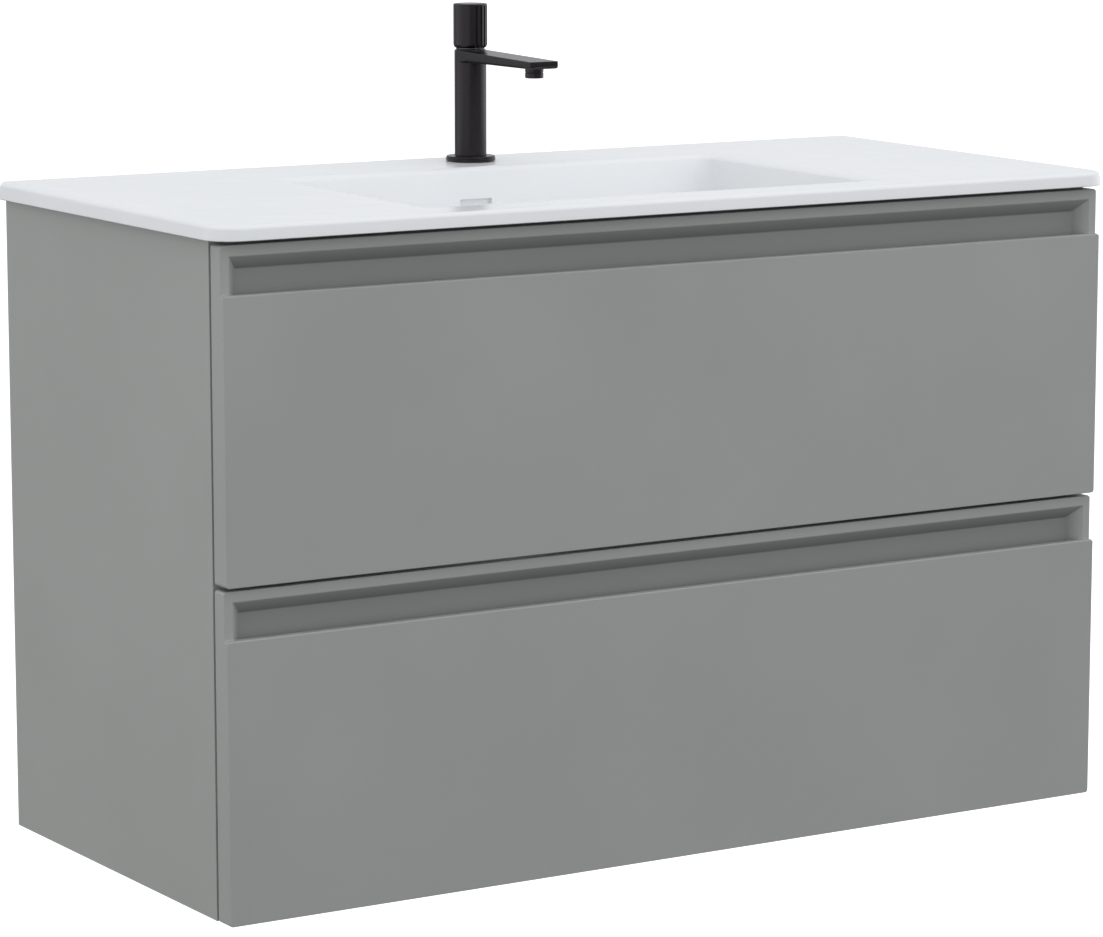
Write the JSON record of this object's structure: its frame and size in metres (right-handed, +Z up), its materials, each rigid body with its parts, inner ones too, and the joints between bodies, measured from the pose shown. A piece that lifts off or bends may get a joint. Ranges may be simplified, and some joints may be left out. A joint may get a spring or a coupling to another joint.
{
  "type": "bathroom vanity cabinet",
  "caption": "Wall-hung vanity cabinet with soft-grey drawers opened by bevelled finger pockets, a thin white ceramic basin and a matt black single-hole mixer tap.",
  "frame": {"origin": "on the wall plane, at the middle of the rear face of the top rear hanging rail", "axes": "+X to the right seen from the front, +Y into the wall, +Z up"},
  "size_m": [1.018, 0.465, 0.8095],
  "materials": {
    "lacquered_front": "satin lacquer on milled fibreboard",
    "painted_panel": "satin lacquer on board",
    "melamine_liner": "textured melamine",
    "glazed_ceramic": "glossy white glaze on vitreous china",
    "black_tap": "matt black powder coat on brass",
    "zinc_steel": "zinc-plated sheet",
    "chrome_trim": "chrome plate",
    "white_pipe": "moulded polypropylene",
    "black_rubber": "moulded rubber"
  },
  "bodies": {
    "root": {"left_side_panel": "painted_panel", "right_side_panel": "painted_panel", "bottom_panel": "painted_panel", "top_front_rail": "zinc_steel", "top_rear_rail": "melamine_liner", "lower_rear_rail": "melamine_liner", "hanger_left": "zinc_steel", "hanger_right": "zinc_steel", "wall_plate_left": "zinc_steel", "wall_plate_right": "zinc_steel", "basin": "glazed_ceramic", "drain_waste": "chrome_trim", "waste_gasket": "black_rubber", "waste_nut": "white_pipe", "trap_tailpipe": "white_pipe", "trap_body": "white_pipe", "trap_cup": "white_pipe", "trap_outlet_nut": "white_pipe", "trap_outlet_pipe": "white_pipe", "wall_rosette": "white_pipe", "tap_flange": "black_tap", "tap_body": "black_tap", "tap_aerator": "black_tap", "tap_cartridge": "zinc_steel", "tap_shank": "zinc_steel", "tap_washer": "black_rubber", "tap_lock_nut": "zinc_steel", "upper_runner_left_cabinet": "zinc_steel", "upper_runner_right_cabinet": "zinc_steel", "lower_runner_left_cabinet": "zinc_steel", "lower_runner_right_cabinet": "zinc_steel"},
    "upper_drawer": {"upper_drawer_front": "lacquered_front", "upper_drawer_left_wall": "melamine_liner", "upper_drawer_right_wall": "melamine_liner", "upper_drawer_bottom": "melamine_liner", "upper_drawer_back_left": "melamine_liner", "upper_drawer_back_right": "melamine_liner", "trap_cutout_left_wall": "melamine_liner", "trap_cutout_right_wall": "melamine_liner", "trap_cutout_front_wall": "melamine_liner", "upper_runner_left_drawer": "zinc_steel", "upper_runner_right_drawer": "zinc_steel"},
    "upper_middle_runners": {"upper_runner_left_middle": "zinc_steel", "upper_runner_right_middle": "zinc_steel"},
    "lower_drawer": {"lower_drawer_front": "lacquered_front", "lower_drawer_left_wall": "melamine_liner", "lower_drawer_right_wall": "melamine_liner", "lower_drawer_bottom": "melamine_liner", "lower_drawer_back": "melamine_liner", "lower_runner_left_drawer": "zinc_steel", "lower_runner_right_drawer": "zinc_steel"},
    "lower_middle_runners": {"lower_runner_left_middle": "zinc_steel", "lower_runner_right_middle": "zinc_steel"},
    "drain_plug": {"drain_plug": "chrome_trim"},
    "tap_handle": {"tap_handle": "black_tap"}
  },
  "joints": [
    {"name": "upper_drawer_slide", "type": "slide", "parent": "root", "child": "upper_drawer", "axis": [0, -1, 0], "range_m": [0, 0.38]},
    {"name": "upper_runner_slide", "type": "slide", "parent": "root", "child": "upper_middle_runners", "axis": [0, -1, 0], "range_m": [0, 0.19]},
    {"name": "lower_drawer_slide", "type": "slide", "parent": "root", "child": "lower_drawer", "axis": [0, -1, 0], "range_m": [0, 0.38]},
    {"name": "lower_runner_slide", "type": "slide", "parent": "root", "child": "lower_middle_runners", "axis": [0, -1, 0], "range_m": [0, 0.19]},
    {"name": "drain_plug_lift", "type": "slide", "parent": "root", "child": "drain_plug", "axis": [0, 0, 1], "range_m": [0, 0.006]},
    {"name": "tap_handle_turn", "type": "hinge", "parent": "root", "child": "tap_handle", "pos_m": [0, -0.052, 0.194], "axis": [0, 0, 1], "range_deg": [0, 100]}
  ],
  "couplings": [
    {"joint": "upper_runner_slide", "follows": "upper_drawer_slide", "ratio": 0.5},
    {"joint": "lower_runner_slide", "follows": "lower_drawer_slide", "ratio": 0.5}
  ]
}
